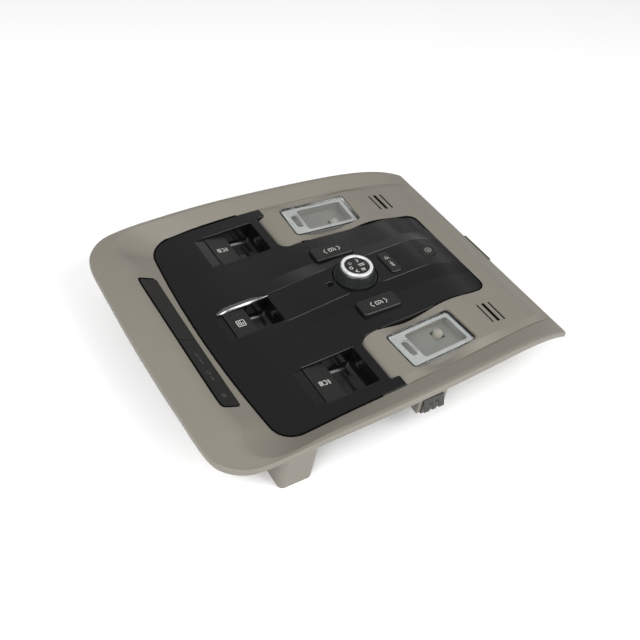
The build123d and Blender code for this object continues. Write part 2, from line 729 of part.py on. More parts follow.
# Rocker keys, their wells, pins and switches
for name, well_x, well_y, length, width, column in wells:
    front, rear, front_top, rear_top, pivot = key_place(well_x, length, column)
    floor_height = height_at(panel_shape, well_x, column) - well_depth
    switch_x = pivot[0]
    slope = (rear_top - front_top) / key_length
    well_front = well_x - length / 2
    well_rear = well_x + length / 2
    well_right = well_y - width / 2
    well_left = well_y + width / 2
    with BuildPart() as pocket:
        with BuildSketch(Plane.XZ.offset(-well_y)):
            with BuildLine():
                scoop = FilletPolyline((well_front, 2 * lens_height), (well_front, floor_height),
                                       (well_rear, floor_height), (well_rear, 2 * lens_height),
                                       radius=[0.5, scoop_radius])
                Line(scoop @ 1, scoop @ 0)
            make_face()
        extrude(amount=width / 2, both=True)
        with BuildSketch(Plane.YZ.offset(well_front)):
            with BuildLine():
                cheeks = FilletPolyline((well_right, 2 * lens_height), (well_right, floor_height),
                                        (well_left, floor_height), (well_left, 2 * lens_height),
                                        radius=cheek_radius)
                Line(cheeks @ 1, cheeks @ 0)
            make_face()
        extrude(amount=length, mode=Mode.INTERSECT)

    with BuildPart() as step:
        with Locations((rear + 0.6, well_right - well_wall / 2, floor_height - well_wall / 2)):
            Box(step_length, step_width + well_wall / 2, step_height + well_wall / 2,
                align=(Align.MIN, Align.MIN, Align.MIN))
        fillet(step.edges().filter_by(Axis.Z).sort_by(Axis.Y)[-2:], step_round)
        fillet(step.faces().sort_by(Axis.Z)[-1].edges(), step_round / 2)

    with BuildPart() as well:
        with BuildSketch(Plane.XY.offset(floor_height - well_wall)):
            with Locations((well_x, well_y)):
                RectangleRounded(length + 2 * well_wall, width + 2 * well_wall, well_corner_radius + well_wall)
        extrude(amount=lens_height)
        add(pocket.part, mode=Mode.SUBTRACT)
        add(step.part)
        with Locations(Location((pivot[0], well_y, pivot[1]), (90, 0, 0))):
            Cylinder(pin_radius + running_fit, width + 4 * well_wall, mode=Mode.SUBTRACT)
        with Locations((switch_x + switch_offset, well_y, floor_height)):
            Box(switch_length + 1, switch_width + 1, 4 * well_wall, mode=Mode.SUBTRACT)
        add(below_panel, mode=Mode.INTERSECT)
    finish(well, f"well_{name}")

    key_width = width - 2 * key_side_gap
    with BuildPart() as key:
        with BuildSketch(Plane.XZ.offset(-well_y)):
            with BuildLine():
                under = [(pivot[0] + side, pivot[1] + pin_depth + slope * side - key_thickness) for side in (-1, 1)]
                plate = FilletPolyline(under[0], (front, front_top - key_thickness), (front, front_top),
                                       (rear, rear_top), (rear - 0.4, rear_top - 2 * key_thickness),
                                       (rear - 2.4, rear_top - 2 * key_thickness),
                                       (rear - 2.8, rear_top - key_thickness - slope * 2.8), under[1],
                                       radius=[0.4, 0.4, 1.0, 0.8, 0.8, 0.5])
                Line(plate @ 1, plate @ 0)
            make_face()
        extrude(amount=key_width / 2, both=True)
        for sign in (1, -1):
            with BuildSketch(Plane.XZ.offset(-well_y - sign * (key_width - ear_width) / 2)):
                with Locations(pivot):
                    Circle(hub_radius)
                    Rectangle(2 * hub_radius, pin_depth - key_thickness / 2,
                              align=(Align.CENTER, Align.MIN))
            extrude(amount=ear_width / 2, both=True)
        with Locations(Location((pivot[0], well_y, pivot[1]), (90, 0, 0))):
            Cylinder(pin_radius + running_fit, width, mode=Mode.SUBTRACT)
    finish(key, f"key_{name}")

    with BuildPart() as pin:
        with Locations(Location((pivot[0], well_y, pivot[1]), (90, 0, 0))):
            Cylinder(pin_radius, width + 2 * well_wall)
    finish(pin, f"key_pin_{name}")

    plate_at_plunger = pivot[1] + pin_depth - key_thickness + slope * switch_offset - plunger_gap
    with BuildPart() as switch:
        with Locations((switch_x + switch_offset, well_y, switch_board_top)):
            Box(switch_length, switch_width, pivot[1] - hub_radius - 1 - switch_board_top,
                align=(Align.CENTER, Align.CENTER, Align.MIN))
            Cylinder(plunger_radius, plate_at_plunger - switch_board_top,
                     align=(Align.CENTER, Align.CENTER, Align.MIN))
    finish(switch, f"switch_{name}")

# Knob: encoder on the board, hub, ribbed skirt, silver ring and the push cap in its middle
knob_base = height_at(panel_shape, knob_x) - 1.2
knob_deck = knob_base + skirt_height_above
cap_floor = knob_deck - 2.0
deck_thickness = 2.0
with BuildPart() as encoder:
    with Locations((knob_x, 0, main_board_top)):
        Box(encoder_size, encoder_size, encoder_height, align=(Align.CENTER, Align.CENTER, Align.MIN))
        Cylinder(hub_outer_radius + 2, encoder_height + 3, align=(Align.CENTER, Align.CENTER, Align.MIN))
    with Locations((knob_x, 0, main_board_top + encoder_height)):
        Cylinder(hub_outer_radius + running_fit, lens_height, mode=Mode.SUBTRACT,
                 align=(Align.CENTER, Align.CENTER, Align.MIN))
        Cylinder(hub_bore_radius - 1.2, 1.1, align=(Align.CENTER, Align.CENTER, Align.MIN))
finish(encoder, "encoder")

with BuildPart() as knob_hub:
    with Locations((knob_x, 0, main_board_top + encoder_height + seat_gap)):
        Cylinder(hub_outer_radius, cap_floor - deck_thickness - main_board_top - encoder_height - seat_gap,
                 align=(Align.CENTER, Align.CENTER, Align.MIN))
        Cylinder(hub_bore_radius, lens_height, mode=Mode.SUBTRACT, align=(Align.CENTER, Align.CENTER, Align.MIN))
finish(knob_hub, "knob_hub")

with BuildPart() as knob_skirt:
    with BuildSketch(Plane.XZ):
        with BuildLine():
            Polyline((bead_radius - 2.6, knob_base), (bead_radius, knob_base), (bead_radius, knob_base + bead_height),
                     (skirt_base_radius, knob_base + bead_height), (skirt_top_radius, knob_deck - 0.7),
                     (skirt_top_radius - 0.7, knob_deck), (ring_inner_radius, knob_deck),
                     (ring_inner_radius, cap_floor), (hub_bore_radius, cap_floor),
                     (hub_bore_radius, cap_floor - deck_thickness),
                     (skirt_top_radius - 2, cap_floor - deck_thickness), close=True)
        make_face()
    revolve(axis=Axis.Z)
    rib_tilt = math.degrees(math.atan2(skirt_base_radius - skirt_top_radius, skirt_height_above - bead_height))
    rib_middle = (knob_base + bead_height + knob_deck) / 2
    with Locations((0, 0, rib_middle)):
        with PolarLocations((skirt_base_radius + skirt_top_radius) / 2 + 0.1, rib_count):
            Cylinder(rib_depth_radius, skirt_height_above - bead_height - 0.6, rotation=(0, -rib_tilt, 0),
                     mode=Mode.SUBTRACT)
finish(knob_skirt, "knob_skirt", Pos(knob_x, 0, 0))

with BuildPart() as knob_ring:
    with BuildSketch(Plane.XZ):
        with BuildLine():
            ring = FilletPolyline((ring_inner_radius, knob_deck), (ring_inner_radius, knob_deck + ring_height),
                                  (ring_outer_radius, knob_deck + ring_height), (ring_outer_radius, knob_deck),
                                  radius=[0.5, 0.6])
            Line(ring @ 1, ring @ 0)
        make_face()
    revolve(axis=Axis.Z)
    with Locations((0, 0, knob_deck + ring_height)):
        with PolarLocations(ring_outer_radius, 1, start_angle=notch_turn):
            Box(1.4, 1.2, 1.0, mode=Mode.SUBTRACT)
finish(knob_ring, "knob_ring", Pos(knob_x, 0, 0))

cap_top = knob_deck + ring_height - 0.5
cap_stem_end = main_board_top + encoder_height + 1.1 + cap_travel + 0.2
with BuildPart() as knob_cap:
    with Locations((knob_x, 0, cap_floor + cap_travel + 0.25)):
        Cylinder(cap_radius, cap_top - cap_floor - cap_travel - 0.25, align=(Align.CENTER, Align.CENTER, Align.MIN))
    fillet(knob_cap.edges().filter_by(GeomType.CIRCLE).sort_by(Axis.Z)[-1], 0.5)
    with Locations((knob_x, 0, cap_stem_end)):
        Cylinder(cap_stem_radius, cap_floor - cap_stem_end + cap_travel + 1, align=(Align.CENTER, Align.CENTER, Align.MIN))
finish(knob_cap, "knob_cap")

# Push buttons with a flange under the panel and stems down to the silicone mat on the board
stem_end = main_board_top + mat_thickness + dome_height + button_travel + seat_gap
flange_top = lens_height - wall
stem_places = []
for name, x, y, length, width, rise, column in button_list:
    top = height_at(panel_shape, x, column) + rise
    spread = max(length, width) / 2 - 2 * stem_radius
    along = (spread, 0) if length > width else (0, spread)
    places = [(x + along[0], y + along[1]), (x - along[0], y - along[1])]
    stem_places += places
    with BuildPart() as button:
        with BuildSketch(Plane.XY.offset(flange_top)):
            with Locations((x, y)):
                RectangleRounded(length, width, 2.6)
        extrude(amount=top - flange_top)
        fillet(button.faces().sort_by(Axis.Z)[-1].edges(), button_round)
        with BuildSketch(Plane.XY.offset(flange_top)):
            with Locations((x, y)):
                RectangleRounded(length + 2 * button_flange, width + 2 * button_flange, 3)
        extrude(amount=-flange_height)
        with Locations(*[(*place, stem_end) for place in places]):
            Cylinder(stem_radius, flange_top - stem_end, align=(Align.CENTER, Align.CENTER, Align.MIN))
    finish(button, name)

round_top = height_at(panel_shape, round_button_x) + round_button_rise
with BuildPart() as round_button:
    with Locations((round_button_x, 0, flange_top)):
        Cylinder(round_button_radius, round_top - flange_top, align=(Align.CENTER, Align.CENTER, Align.MIN))
    fillet(round_button.edges().filter_by(GeomType.CIRCLE).sort_by(Axis.Z)[-1], button_round / 2)
    with Locations((round_button_x, 0, flange_top)):
        Cylinder(round_button_radius + button_flange, flange_height, align=(Align.CENTER, Align.CENTER, Align.MAX))
        Cylinder(stem_radius, flange_top - stem_end, align=(Align.CENTER, Align.CENTER, Align.MAX))
finish(round_button, "round_button")
stem_places.append((round_button_x, 0))

with BuildPart() as ambient_lens:
    with Locations((ambient_x, 0, main_board_top)):
        Box(ambient_size - 2 * gap, ambient_size - 2 * gap, height_at(panel_shape, ambient_x) - 0.6 - main_board_top,
            align=(Align.CENTER, Align.CENTER, Align.MIN))
finish(ambient_lens, "ambient_lens")

# Main board under the tongue, with the silicone mat on it and the connector under it
board_middle_x = (board_front_x + board_rear_x) / 2
board_length = board_rear_x - board_front_x
with BuildPart() as main_board:
    with BuildSketch(Plane.XY.offset(main_board_top - board_thickness)):
        with Locations((board_middle_x, 0)):
            RectangleRounded(board_length, 2 * board_half_width, 3)
        with Locations(*board_boss_places):
            Circle(screw_radius, mode=Mode.SUBTRACT)
    extrude(amount=board_thickness)
finish(main_board, "main_board")

with BuildPart() as button_mat:
    with BuildSketch(Plane.XY.offset(main_board_top)):
        with Locations((board_middle_x, 0)):
            RectangleRounded(board_length - 4, 2 * board_half_width - 4, 3)
        with Locations((knob_x, 0)):
            Rectangle(encoder_size + 2, encoder_size + 2, mode=Mode.SUBTRACT)
        with Locations((ambient_x, 0)):
            Rectangle(2 * ambient_size, 2 * ambient_size, mode=Mode.SUBTRACT)
        with Locations(*board_boss_places):
            Circle(boss_radius + 1, mode=Mode.SUBTRACT)
    extrude(amount=mat_thickness)
    with Locations(*[(*place, main_board_top) for place in stem_places]):
        Cylinder(stem_radius + 0.8, mat_thickness + dome_height, align=(Align.CENTER, Align.CENTER, Align.MIN))
finish(button_mat, "button_mat")

connector_top = main_board_top - board_thickness
with BuildPart() as connector:
    with Locations((connector_x, 0, connector_top)):
        Box(connector_length, connector_width, connector_top - housing_floor - housing_wall,
            align=(Align.CENTER, Align.CENTER, Align.MAX))
    with Locations((connector_x, 0, housing_floor + housing_wall)):
        Box(connector_length - 3, connector_width - 3, connector_cavity, mode=Mode.SUBTRACT,
            align=(Align.CENTER, Align.CENTER, Align.MIN))
        with GridLocations(5, 4.4, 2, 6):
            Box(0.8, 0.8, connector_cavity + 1, align=(Align.CENTER, Align.CENTER, Align.MIN))
    with Locations((connector_x, 0, housing_floor + housing_wall)):
        Box(connector_length - 3, connector_width - 3, 5, mode=Mode.SUBTRACT,
            align=(Align.CENTER, Align.CENTER, Align.MIN))
finish(connector, "connector")

# Switch board under the keys
with BuildPart() as switch_board:
    with BuildSketch(Plane.XY.offset(switch_board_top - board_thickness)):
        with Locations(((switch_board_front_x + switch_board_rear_x) / 2, 0)):
            RectangleRounded(switch_board_rear_x - switch_board_front_x, 2 * switch_board_half_width, 4)
    extrude(amount=board_thickness)
finish(switch_board, "switch_board")

# Back housing: tray with screw bosses, posts under the switch board and notches for the wells
housing_middle_x = (housing_front_x + housing_rear_x) / 2
housing_length = housing_rear_x - housing_front_x - 2 * housing_flare
housing_width = 2 * (housing_half_width - housing_flare)
housing_draft = math.degrees(math.atan2(housing_flare, housing_top - housing_floor))
post_places = [(x, sign * (switch_board_half_width - 22)) for x in (-30.0, -80.0) for sign in (1, -1)]
with BuildPart() as back_housing:
    with BuildSketch(Plane.XY.offset(housing_floor)):
        with Locations((housing_middle_x, 0)):
            RectangleRounded(housing_length, housing_width, 12)
    extrude(amount=housing_top - housing_floor, taper=-housing_draft)
    with BuildSketch(Plane.XY.offset(housing_floor + housing_wall)):
        with Locations((housing_middle_x, 0)):
            RectangleRounded(housing_length - 2 * housing_wall, housing_width - 2 * housing_wall, 10)
    extrude(amount=housing_top - housing_floor, taper=-housing_draft, mode=Mode.SUBTRACT)
    for name, well_x, well_y, length, width, column in wells:
        with Locations((well_x, well_y, height_at(panel_shape, well_x, column) - well_depth - well_wall - gap)):
            Box(length + 2 * well_wall + 2 * gap, width + 2 * well_wall + 2 * gap, lens_height,
                mode=Mode.SUBTRACT, align=(Align.CENTER, Align.CENTER, Align.MIN))
    with Locations(*[(x, y, housing_floor) for x, y in housing_boss_places]):
        Cylinder(boss_radius + 1, housing_top - housing_floor, align=(Align.CENTER, Align.CENTER, Align.MIN))
    with Locations(*[(x, y, housing_floor) for x, y in post_places]):
        Cylinder(boss_radius, switch_board_top - board_thickness - seat_gap - housing_floor,
                 align=(Align.CENTER, Align.CENTER, Align.MIN))
    with Locations(*[(x, y, housing_floor) for x, y in housing_boss_places]):
        Cylinder(screw_radius + 0.2, 4 * lens_height, mode=Mode.SUBTRACT)
        Cylinder(boss_radius - 0.4, 2 * (housing_top - housing_floor - screw_seat), mode=Mode.SUBTRACT)
    with Locations((connector_x, 0, housing_floor)):
        Box(connector_length + 2, connector_width + 2, 4 * housing_wall, mode=Mode.SUBTRACT)
finish(back_housing, "back_housing")

# Screws of the housing and of the main board
screw_groups = (("housing_screws", housing_boss_places, housing_top - screw_seat),
                ("board_screws", board_boss_places, main_board_top - board_thickness))
for name, places, seat in screw_groups:
    with BuildPart() as screws:
        with Locations(*[(x, y, seat) for x, y in places]):
            Cylinder(screw_radius - screw_bite, screw_length, align=(Align.CENTER, Align.CENTER, Align.MIN))
            Cylinder(screw_head_radius, screw_head_height, align=(Align.CENTER, Align.CENTER, Align.MAX))
    finish(screws, name)

# Steel clips over the two towers
clip_inside = tower_depth + 2 * seat_gap
clip_bottom = tower_base - seat_gap - clip_sheet
for name, sign in side_names:
    with BuildPart() as spring_clip:
        with BuildSketch(Plane.YZ.offset(tower_x - clip_length / 2)):
            with Locations((0, clip_bottom)):
                Rectangle(clip_inside + 2 * clip_sheet, clip_height, align=(Align.CENTER, Align.MIN))
            with Locations((0, clip_bottom + clip_sheet)):
                Rectangle(clip_inside, clip_height, align=(Align.CENTER, Align.MIN), mode=Mode.SUBTRACT)
            with BuildLine():
                root = sign * (clip_inside / 2 + clip_sheet)
                Polyline((root, clip_bottom + clip_height), (root + sign * clip_spread, clip_bottom + 5),
                         (root + sign * clip_spread, clip_bottom + 3.4), (root - sign * clip_sheet,
                         clip_bottom + clip_height), close=True)
            make_face()
        extrude(amount=clip_length)
        with Locations((tower_x, 0, clip_bottom + clip_height / 2)):
            with GridLocations(6, 1, 2, 1):
                Box(2.4, 4 * tower_depth, clip_height / 2, mode=Mode.SUBTRACT)
    finish(spring_clip, f"spring_clip_{name}", Pos(0, sign * tower_y, 0))

# Pads and hook on the rear edge
rear_middle = seam(rear_x) - skirt_height / 2
for name, sign in side_names:
    with BuildPart() as rear_pad:
        with Locations((rear_x, sign * pad_y, rear_middle)):
            Box(pad_thickness, pad_length, pad_width, align=(Align.MIN, Align.CENTER, Align.CENTER))
    finish(rear_pad, f"rear_pad_{name}")

with BuildPart() as rear_hook:
    with Locations((rear_x, 0, rear_middle)):
        Box(hook_reach, 2 * hook_half_length, pad_width, align=(Align.MIN, Align.CENTER, Align.CENTER))
        Box(hook_reach - 1.4, 2 * hook_half_length - 4, 2 * pad_width, mode=Mode.SUBTRACT,
            align=(Align.MIN, Align.CENTER, Align.MAX))
finish(rear_hook, "rear_hook")
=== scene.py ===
import json
import math

import bmesh
import bpy
from mathutils import Matrix, Vector


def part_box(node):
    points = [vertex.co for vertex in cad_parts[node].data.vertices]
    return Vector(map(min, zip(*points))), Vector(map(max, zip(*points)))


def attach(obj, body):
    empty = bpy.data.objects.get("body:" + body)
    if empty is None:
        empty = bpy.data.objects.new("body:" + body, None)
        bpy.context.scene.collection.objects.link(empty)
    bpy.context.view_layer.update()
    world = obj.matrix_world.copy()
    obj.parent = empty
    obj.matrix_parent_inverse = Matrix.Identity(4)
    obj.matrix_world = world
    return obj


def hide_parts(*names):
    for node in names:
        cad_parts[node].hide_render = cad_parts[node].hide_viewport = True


mm = 0.001
sides = (("left", 1), ("right", -1))

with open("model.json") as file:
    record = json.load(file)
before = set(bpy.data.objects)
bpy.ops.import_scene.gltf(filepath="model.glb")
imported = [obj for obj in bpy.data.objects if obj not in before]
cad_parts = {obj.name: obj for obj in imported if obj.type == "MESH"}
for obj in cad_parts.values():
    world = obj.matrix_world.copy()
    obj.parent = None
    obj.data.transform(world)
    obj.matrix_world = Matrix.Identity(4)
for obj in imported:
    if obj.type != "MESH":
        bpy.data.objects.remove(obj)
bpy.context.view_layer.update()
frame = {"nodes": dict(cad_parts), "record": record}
nodes = frame["nodes"]
bodyOf = {node: body for body, names in frame["record"]["behaviour"]["bodies"].items() for node in names}
bpy.context.view_layer.update()
print("stage: frame loaded")


def linearColour(hexValue):
    # sRGB hex to the linear colour that Blender works in
    parts = [int(hexValue[i:i + 2], 16) / 255 for i in (1, 3, 5)]
    return [p / 12.92 if p <= 0.04045 else ((p + 0.055) / 1.055) ** 2.4 for p in parts] + [1.0]


def addNode(tree, kind, values=(), links=(), **settings):
    node = tree.nodes.new(kind)
    for key, value in settings.items():
        setattr(node, key, value)
    for socket, value in dict(values).items():
        node.inputs[socket].default_value = value
    for socket, source in dict(links).items():
        tree.links.new(source, node.inputs[socket])
    return node


def newMaterial(name, values):
    material = bpy.data.materials.new(name)
    material.use_nodes = True
    tree = material.node_tree
    shader = tree.nodes["Principled BSDF"]
    for socket, value in values.items():
        shader.inputs[socket].default_value = value
    return material, tree, shader


def grainBump(tree, shader, grainSize, height, distance=0.05 * mm):
    # Spark-eroded mould grain: cells of a real size, pressed into the surface
    place = addNode(tree, "ShaderNodeTexCoord")
    cells = addNode(tree, "ShaderNodeTexVoronoi", {"Scale": 1 / grainSize, "Randomness": 0.9},
                    {"Vector": place.outputs["Object"]}, feature="SMOOTH_F1")
    fine = addNode(tree, "ShaderNodeTexNoise", {"Scale": 2.3 / grainSize, "Detail": 2.0},
                   {"Vector": place.outputs["Object"]})
    both = addNode(tree, "ShaderNodeMath", {}, {0: cells.outputs["Distance"], 1: fine.outputs["Fac"]},
                   operation="ADD")
    bump = addNode(tree, "ShaderNodeBump", {"Strength": height, "Distance": distance},
                   {"Height": both.outputs[0]})
    tree.links.new(bump.outputs["Normal"], shader.inputs["Normal"])
    return place


def mottle(tree, shader, place, low, high, size, roughLow, roughHigh):
    # Slow cloud in colour and gloss, as on plastic that has been handled
    cloud = addNode(tree, "ShaderNodeTexNoise", {"Scale": 1 / size, "Detail": 3.0},
                    {"Vector": place.outputs["Object"]})
    colour = addNode(tree, "ShaderNodeMix", {6: linearColour(low), 7: linearColour(high)},
                     {0: cloud.outputs["Fac"]}, data_type="RGBA")
    tree.links.new(colour.outputs[2], shader.inputs["Base Color"])
    gloss = addNode(tree, "ShaderNodeMapRange", {"To Min": roughLow, "To Max": roughHigh},
                    {"Value": cloud.outputs["Fac"]})
    tree.links.new(gloss.outputs["Result"], shader.inputs["Roughness"])


# Moulded taupe ABS with a fine spark-eroded grain: matt, with a soft broad highlight
taupeAbs, tree, shader = newMaterial("mouldedTaupeAbs", {"IOR": 1.53})
mottle(tree, shader, grainBump(tree, shader, 0.7 * mm, 0.25), "#726E65", "#78746A", 60 * mm, 0.5, 0.58)

# Dark ABS of the indicator's blank half, moulded smooth: almost black, with a soft highlight
smoothDarkAbs, tree, shader = newMaterial("smoothDarkAbs", {"IOR": 1.53, "Specular IOR Level": 0.3})
mottle(tree, shader, grainBump(tree, shader, 0.8 * mm, 0.08), "#11100F", "#151412", 40 * mm, 0.3, 0.36)

# Satin black ABS of the centre panel, with a light haze: dark, with soft reflections
blackAbs, tree, shader = newMaterial("satinBlackAbs", {"IOR": 1.53, "Specular IOR Level": 0.3})
mottle(tree, shader, grainBump(tree, shader, 0.9 * mm, 0.03), "#0C0C0D", "#0F0F10", 45 * mm, 0.2, 0.26)

# Polished black ABS of the finger wells and the crest beads: glossy, with slightly blurred reflections
wellAbs, tree, shader = newMaterial("polishedBlackAbs", {"IOR": 1.53})
mottle(tree, shader, grainBump(tree, shader, 1.2 * mm, 0.03), "#0C0C0C", "#0E0E0E", 20 * mm, 0.16, 0.22)

# The rolled lip of the centre well, polished and lacquered: the brightest reflection on the console
lacqueredAbs, tree, shader = newMaterial("lacqueredBlackAbs", {"IOR": 1.8, "Coat Weight": 1.0,
                                                               "Coat Roughness": 0.12, "Coat IOR": 2.2})
mottle(tree, shader, grainBump(tree, shader, 1.2 * mm, 0.02), "#0B0B0B", "#0E0E0E", 20 * mm, 0.12, 0.16)

# Smoked window of the light sensor, sunk and unlit: it reads as a dark hole
sensorWindow, tree, shader = newMaterial("smokedSensorWindow", {"IOR": 1.49, "Specular IOR Level": 0.08})
mottle(tree, shader, grainBump(tree, shader, 0.9 * mm, 0.03), "#030303", "#050505", 6 * mm, 0.4, 0.5)

# Soft-touch lacquer on the moulded polycarbonate keys: nearly black, a little warm, with a dull sheen
keyLacquer, tree, shader = newMaterial("softTouchKeyLacquer", {"IOR": 1.5})
mottle(tree, shader, grainBump(tree, shader, 0.5 * mm, 0.12), "#0C0B0A", "#0F0E0C", 18 * mm, 0.4, 0.46)

# Knob's moulded skirt: dark grey paint with metal flake, with a faint sheen on the ribs
skirtPaint, tree, shader = newMaterial("metalFlakeSkirtPaint", {"IOR": 1.5, "Metallic": 0.35})
mottle(tree, shader, grainBump(tree, shader, 0.3 * mm, 0.1), "#242728", "#2E3131", 6 * mm, 0.3, 0.38)

# Galvanised satin chrome on the knob's ring: pearl finish, nearly white, its reflections spread wide
satinChrome, tree, shader = newMaterial("galvanisedPearlChrome", {"Metallic": 0.55})
mottle(tree, shader, grainBump(tree, shader, 0.25 * mm, 0.01), "#E4E5E5", "#ECEDED", 8 * mm, 0.3, 0.36)

# Light grey moulded polystyrene of the reflectors: pale, with a soft sheen
greyPlastic, tree, shader = newMaterial("mouldedReflectorGrey", {"IOR": 1.59})
mottle(tree, shader, grainBump(tree, shader, 0.6 * mm, 0.1), "#A4A19A", "#ACA9A2", 15 * mm, 0.4, 0.5)

# Moulded clear polycarbonate of the lamp lenses: glass-like, with faint mould waviness
clearPc, tree, shader = newMaterial("mouldedClearPolycarbonate", {
    "Base Color": linearColour("#F2F4F4"), "IOR": 1.4, "Transmission Weight": 1.0, "Roughness": 0.05})
grainBump(tree, shader, 3 * mm, 0.008)

# Pressed prism film behind the lens: frosted and nearly white, with fine ribs across it
prismFilm, tree, shader = newMaterial("pressedPrismFilm", {"IOR": 1.49, "Transmission Weight": 0.1})
place = addNode(tree, "ShaderNodeTexCoord")
ribs = addNode(tree, "ShaderNodeTexWave", {"Scale": 1 / (22 * mm)}, {"Vector": place.outputs["Object"]},
               bands_direction="Y")
ribBump = addNode(tree, "ShaderNodeBump", {"Strength": 0.5, "Distance": 0.2 * mm},
                  {"Height": ribs.outputs["Fac"]})
tree.links.new(ribBump.outputs["Normal"], shader.inputs["Normal"])
mottle(tree, shader, place, "#E6E7E4", "#ECEDEA", 8 * mm, 0.3, 0.4)

# Smoked acrylic of the indicator: almost black, a little glossier than the blank half beside it
smokedAcrylic, tree, shader = newMaterial("smokedIndicatorAcrylic",
                                          {"IOR": 1.49, "Specular IOR Level": 0.3})
mottle(tree, shader, grainBump(tree, shader, 1.5 * mm, 0.02), "#0E0D0C", "#12110F", 12 * mm, 0.2, 0.26)

# Lamp dome: cast epoxy, milky warm white
epoxyDome, tree, shader = newMaterial("castEpoxyDome", {"IOR": 1.5, "Subsurface Weight": 0.2,
                                                        "Subsurface Scale": 2 * mm})
mottle(tree, shader, grainBump(tree, shader, 1.0 * mm, 0.02), "#C9C4B4", "#D6D1C2", 4 * mm, 0.25, 0.3)

# Circuit boards: glass-fibre epoxy under green solder resist, with the weave showing through
solderResist, tree, shader = newMaterial("greenSolderResist", {"IOR": 1.5})
place = grainBump(tree, shader, 0.8 * mm, 0.05)
weave = addNode(tree, "ShaderNodeTexWave", {"Scale": 1 / (12 * mm), "Distortion": 0.4},
                {"Vector": place.outputs["Object"]})
weaveMix = addNode(tree, "ShaderNodeMix", {6: linearColour("#0E4A2A"), 7: linearColour("#125A33")},
                   {0: weave.outputs["Fac"]}, data_type="RGBA")
tree.links.new(weaveMix.outputs[2], shader.inputs["Base Color"])
shader.inputs["Roughness"].default_value = 0.32

# Glass-filled nylon of housing, connector and switches: dull black, faintly mottled by its fibres
glassNylon, tree, shader = newMaterial("glassFilledNylon", {"IOR": 1.53})
mottle(tree, shader, grainBump(tree, shader, 0.5 * mm, 0.3), "#141414", "#1B1B1A", 5 * mm, 0.5, 0.62)

# Moulded silicone mat: pale, translucent and dull
silicone, tree, shader = newMaterial("mouldedSilicone", {"IOR": 1.41, "Subsurface Weight": 0.15,
                                                         "Subsurface Scale": 1 * mm})
mottle(tree, shader, grainBump(tree, shader, 0.9 * mm, 0.1), "#A9ABA8", "#B4B6B3", 10 * mm, 0.55, 0.65)

# Rolled and hardened spring steel: dark grey, with a grain along the strip
springSteel, tree, shader = newMaterial("rolledSpringSteel", {"Metallic": 1.0})
place = addNode(tree, "ShaderNodeTexCoord")
along = addNode(tree, "ShaderNodeMapping", {"Scale": (1, 12, 12)}, {"Vector": place.outputs["Object"]})
rolled = addNode(tree, "ShaderNodeTexNoise", {"Scale": 1 / (6 * mm), "Detail": 4.0},
                 {"Vector": along.outputs["Vector"]})
steelMix = addNode(tree, "ShaderNodeMix", {6: linearColour("#3E3F3C"), 7: linearColour("#5E5F5B")},
                   {0: rolled.outputs["Fac"]}, data_type="RGBA")
tree.links.new(steelMix.outputs[2], shader.inputs["Base Color"])
steelGloss = addNode(tree, "ShaderNodeMapRange", {"To Min": 0.28, "To Max": 0.45},
                     {"Value": rolled.outputs["Fac"]})
tree.links.new(steelGloss.outputs["Result"], shader.inputs["Roughness"])

# Needle felt of the rear pads: black fibres, no gloss
needleFelt, tree, shader = newMaterial("needleFelt", {"Sheen Weight": 0.4, "Sheen Roughness": 0.5})
mottle(tree, shader, grainBump(tree, shader, 0.6 * mm, 0.8), "#0F0F0F", "#191919", 1.5 * mm, 0.9, 1.0)

# Laser-etched marks: the white undercoat that shows where the lacquer is burnt away
etchedWhite, tree, shader = newMaterial("laserEtchedWhite", {"IOR": 1.5})
mottle(tree, shader, grainBump(tree, shader, 0.3 * mm, 0.1), "#C9C8C2", "#D6D5D0", 5 * mm, 0.5, 0.6)

# Marks printed behind the smoked acrylic: dim grey, because no lamp is lit behind them
smokedPrint, tree, shader = newMaterial("smokedScreenPrint", {"IOR": 1.5})
mottle(tree, shader, grainBump(tree, shader, 0.3 * mm, 0.1), "#4A4844", "#55534E", 5 * mm, 0.4, 0.5)

# Closed-cell foam seal: black and dull, with a coarse grain
cellFoam, tree, shader = newMaterial("closedCellFoam", {"IOR": 1.45})
mottle(tree, shader, grainBump(tree, shader, 0.5 * mm, 0.9), "#0C0C0C", "#131313", 3 * mm, 0.85, 0.95)

# Deep black for the painted shade in the seams, where the gaps fall into shadow, and for the black mesh in
# the grille slots: it swallows nearly all light
seamShadeAndMeshBlack, tree, shader = newMaterial("paintedSeamShadeAndMeshBlack", {"IOR": 1.5, "Specular IOR Level": 0.06})
mottle(tree, shader, grainBump(tree, shader, 0.6 * mm, 0.2), "#010101", "#030303", 8 * mm, 0.7, 0.8)

finishes = {
    taupeAbs: ("outer_bezel", "rear_panel"),
    smoothDarkAbs: ("indicator_blank",),
    smokedAcrylic: ("indicator_lens",),
    sensorWindow: ("ambient_lens",),
    blackAbs: ("centre_panel",),
    wellAbs: ("well_left", "well_centre", "well_right"),
    keyLacquer: ("key_left", "key_centre", "key_right", "map_button_left", "map_button_right", "off_button",
                 "round_button", "knob_cap"),
    skirtPaint: ("knob_skirt", "knob_hub"),
    satinChrome: ("knob_ring",),
    greyPlastic: ("reflector_left", "reflector_right"),
    clearPc: ("lamp_lens_left", "lamp_lens_right"),
    epoxyDome: ("led_left", "led_right"),
    solderResist: ("indicator_board", "main_board", "switch_board", "lamp_board_left", "lamp_board_right"),
    glassNylon: ("indicator_housing", "back_housing", "connector", "switch_left", "switch_centre",
                 "switch_right", "encoder", "microphone_left", "microphone_right", "rear_hook"),
    silicone: ("button_mat",),
    springSteel: ("key_pin_left", "key_pin_centre", "key_pin_right", "housing_screws", "board_screws",
                  "spring_clip_left", "spring_clip_right"),
    needleFelt: ("rear_pad_left", "rear_pad_right"),
}
for material, names in finishes.items():
    for name in names:
        nodes[name].data.materials.clear()
        nodes[name].data.materials.append(material)
print("stage: materials on", sum(len(names) for names in finishes.values()), "nodes")


